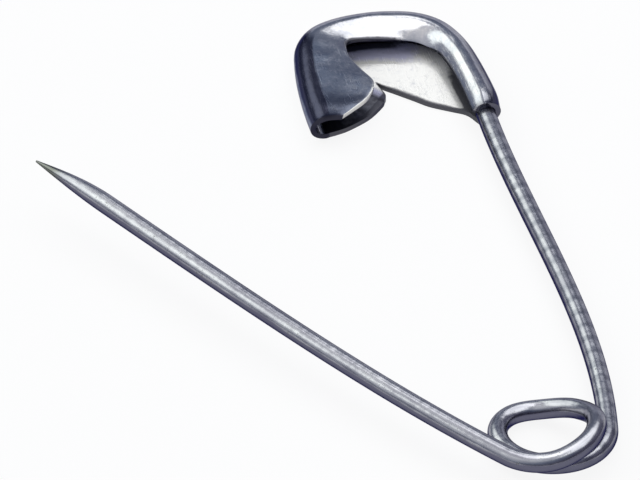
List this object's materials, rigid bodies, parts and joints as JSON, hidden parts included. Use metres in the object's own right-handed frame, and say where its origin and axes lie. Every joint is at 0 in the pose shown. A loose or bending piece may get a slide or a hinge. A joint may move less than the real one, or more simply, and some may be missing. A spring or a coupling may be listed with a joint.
{
  "type": "safety pin",
  "caption": "Open safety pin of round plated wire with a coiled spring tail, a ground point and a stamped cap whose folded guard takes the point.",
  "frame": {"origin": "on the flat back of the cap, in the middle of its panel, which is the plane the pin lies on", "axes": "+Y from the coil to the cap along the fixed arm, +Z out of the open side of the cap, the coil turns about Z"},
  "size_m": [0.0315, 0.0509, 0.0039],
  "materials": {
    "cap_plate": "bright nickel plate on stamped steel sheet, lightly scuffed",
    "wire_plate": "bright nickel plate on drawn spring wire"
  },
  "bodies": {
    "pin_frame": {"clasp_cap": "cap_plate", "anchor_hook": "wire_plate", "back_arm": "wire_plate", "spring_coil": "wire_plate"},
    "arm_base": {"arm_root": "wire_plate"},
    "arm": {"pin_arm": "wire_plate", "pin_point": "wire_plate"}
  },
  "joints": [
    {"name": "arm_swing", "type": "hinge", "parent": "pin_frame", "child": "arm_base", "pos_m": [-0.00123, -0.0409, 0], "axis": [0, 0, 1], "range_deg": [-36, 12], "stiffness_Nm_per_rad": 0.5, "deforming": ["spring_coil"]},
    {"name": "arm_tuck", "type": "hinge", "parent": "arm_base", "child": "arm", "pos_m": [-0.00701, -0.04027, 0.0024], "axis": [0.8596, 0.511, 0], "range_deg": [-3.8, 1.5], "stiffness_Nm_per_rad": 0.5}
  ]
}
